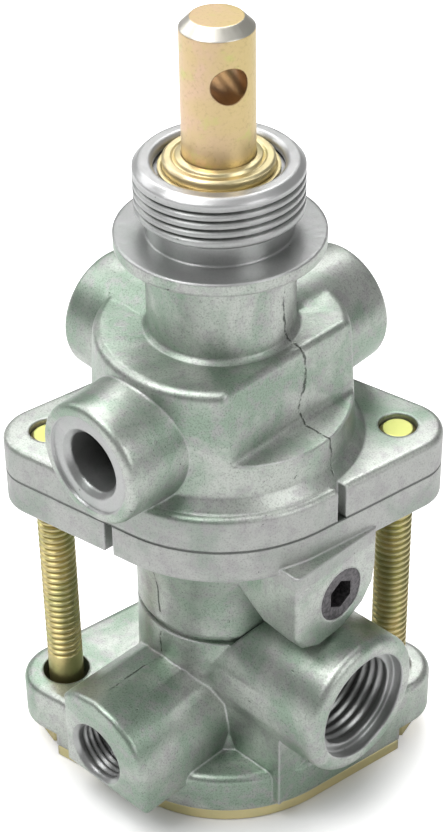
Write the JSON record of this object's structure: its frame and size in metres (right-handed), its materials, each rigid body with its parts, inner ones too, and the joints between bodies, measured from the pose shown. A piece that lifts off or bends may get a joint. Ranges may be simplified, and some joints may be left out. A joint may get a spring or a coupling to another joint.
{
  "type": "trailer supply valve",
  "caption": "Push-pull air control valve: stacked die-cast bodies clamped by long bolts, a plated plunger stem in a threaded neck, side ports and a hex-socket plug.",
  "frame": {"origin": "on the plunger axis, at the underside of the bottom cover", "axes": "+Z along the plunger, out through the threaded neck; +X out of the large supply port; -Y out of the small control port; the clamping bolts stand on the X = Y diagonal"},
  "size_m": [0.0504, 0.0511, 0.1174],
  "materials": {
    "cast_alloy": "die-cast, grey-green chromate conversion coat, satin with worn edges",
    "bare_alloy": "turned, bare",
    "yellow_zinc": "yellow zinc dichromate plate, semi-bright",
    "spring_steel": "drawn wire, semi-bright",
    "black_steel": "black oxide, satin",
    "seal_rubber": "moulded, dull"
  },
  "bodies": {
    "housing": {"lower_body": "cast_alloy", "joint_seal": "seal_rubber", "cover_seal": "seal_rubber", "bottom_cover": "yellow_zinc", "cover_screws": "yellow_zinc", "middle_body": "cast_alloy", "flange_seal": "seal_rubber", "pipe_plug": "black_steel", "upper_body": "cast_alloy", "plunger_guide": "yellow_zinc", "guide_seal": "seal_rubber", "stem_seal": "seal_rubber", "guide_retaining_ring": "spring_steel", "valve_seat": "bare_alloy", "plunger_spring": "spring_steel", "relay_spring": "spring_steel", "clamp_bolt_right": "yellow_zinc", "clamp_bolt_left": "yellow_zinc"},
    "push_plunger": {"plunger": "yellow_zinc", "plunger_valve": "seal_rubber", "plunger_nut": "yellow_zinc"},
    "relay": {"relay_piston": "bare_alloy", "piston_seal": "seal_rubber", "relay_spring_seat": "yellow_zinc", "relay_valve": "seal_rubber", "relay_nut": "yellow_zinc"}
  },
  "joints": [
    {"name": "plunger_slide", "type": "slide", "parent": "housing", "child": "push_plunger", "axis": [0, 0, 1], "range_m": [-0.008, 0], "stiffness_N_per_m": 1200, "springref_m": 0.005, "deforming": ["plunger_spring"]},
    {"name": "relay_slide", "type": "slide", "parent": "housing", "child": "relay", "axis": [0, 0, 1], "range_m": [0, 0.002], "stiffness_N_per_m": 800, "springref_m": -0.003, "deforming": ["relay_spring"]}
  ]
}
